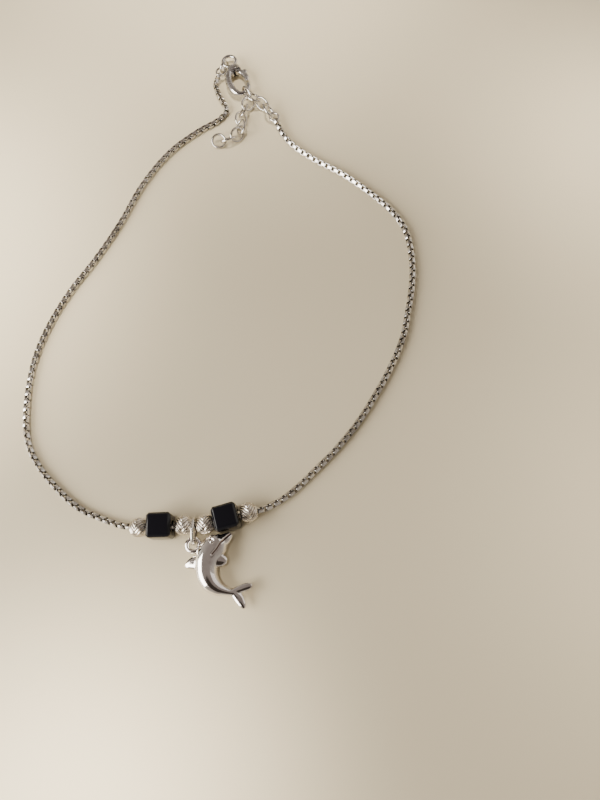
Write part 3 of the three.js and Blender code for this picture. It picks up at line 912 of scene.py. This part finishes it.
def area_light(name, place, size, power, colour):
    """Wide light that faces the middle of the table."""
    light = bpy.data.lights.new(name, "AREA")
    light.shape = "RECTANGLE"
    light.size, light.size_y = size
    light.energy = power
    light.color = colour
    lamp = new_object(name, light)
    lamp.location = place
    lamp.rotation_euler = (-Vector(place)).to_track_quat("-Z", "Y").to_euler()


def light_pool(name, x, y, spread, power):
    """Soft round pool of light on the table, from straight above; spread is the beam in degrees."""
    light = bpy.data.lights.new(name, "SPOT")
    light.energy = power
    light.spot_size = math.radians(spread)
    light.spot_blend = 1.0
    light.shadow_soft_size = 0.02
    light.color = POOL_COLOUR
    lamp = new_object(name, light)
    lamp.location = at(x, y, POOL_HEIGHT) * MM
    lamp.visible_glossy = False


area_light("window_left", (-0.30, -0.12, 0.18), (0.36, 0.26), 3.6, LEFT_WINDOW_COLOUR)
area_light("window_right", (0.42, 0.28, 0.26), (0.5, 0.5), 0.6, RIGHT_WINDOW_COLOUR)
light_pool("pool_front", -19, -80, spread=16, power=11.0)
light_pool("pool_left", -62, 10, spread=24, power=8.0)
light_pool("pool_back", 72, 30, spread=16, power=5.0)
light_pool("pool_far", 0, 88, spread=34, power=4.5)
light_pool("pool_right", 88, -38, spread=26, power=2.6)


def room_light():
    """The room: a beige ceiling, paler walls, and one dark patch high in front of the table."""
    dark_side = Vector((0.1, -0.5, 0.86)).normalized()
    world = bpy.data.worlds.new("room")
    world.use_nodes = True
    nodes, links = world.node_tree.nodes, world.node_tree.links
    direction = nodes.new("ShaderNodeTexCoord")
    heights = nodes.new("ShaderNodeSeparateXYZ")
    shade = nodes.new("ShaderNodeValToRGB")
    walls, ceiling = shade.color_ramp.elements
    walls.position = 0.1
    walls.color = (0.80, 0.73, 0.64, 1)
    ceiling.position = 0.9
    ceiling.color = (0.40, 0.34, 0.31, 1)
    towards = nodes.new("ShaderNodeVectorMath")
    towards.operation = "DOT_PRODUCT"
    towards.inputs[1].default_value = dark_side
    nearness = nodes.new("ShaderNodeMapRange")
    nearness.interpolation_type = "SMOOTHSTEP"
    nearness.inputs["From Min"].default_value = 0.88
    nearness.inputs["From Max"].default_value = 0.94
    patched = nodes.new("ShaderNodeMix")
    patched.data_type = "RGBA"
    patched.inputs["B"].default_value = (0.07, 0.055, 0.045, 1)
    room = nodes["Background"]
    room.inputs["Strength"].default_value = 0.66
    links.new(direction.outputs["Generated"], heights.inputs["Vector"])
    links.new(direction.outputs["Generated"], towards.inputs[0])
    links.new(heights.outputs["Z"], shade.inputs["Fac"])
    links.new(towards.outputs["Value"], nearness.inputs["Value"])
    links.new(nearness.outputs["Result"], patched.inputs["Factor"])
    links.new(shade.outputs["Color"], patched.inputs["A"])
    links.new(patched.outputs["Result"], room.inputs["Color"])
    return world


bpy.context.scene.world = room_light()

# The view leans 18.55 degrees from straight down and 4.5 degrees sideways, 109 mm over the table.
CAMERA_PLACE = (22.0, -56.6, 108.92)
LEAN_SIDE = math.radians(4.5)
LEAN_BACK = math.radians(18.55)


def view_camera():
    """Camera over the front of the loop, upright with the clasp away."""
    down = Vector((math.sin(LEAN_SIDE), math.sin(LEAN_BACK), 0))
    down.z = math.sqrt(1 - down.length_squared)
    seen_up = -down
    seen_right = (Vector((1, 0, 0)) - down * down.x).normalized()
    seen_away = seen_up.cross(seen_right)
    turn = Matrix((seen_right, seen_away, seen_up)) @ Matrix.Diagonal((1, -1, -1))
    lens = bpy.data.cameras.new("camera")
    lens.sensor_fit = "VERTICAL"
    lens.sensor_height = 36
    lens.lens = 31.5
    lens.clip_start = 0.005
    lens.clip_end = 10
    camera = new_object("camera", lens)
    camera.matrix_world = Matrix.Translation(at(*CAMERA_PLACE) * MM) @ turn.to_4x4()
    return camera


bpy.context.scene.camera = view_camera()
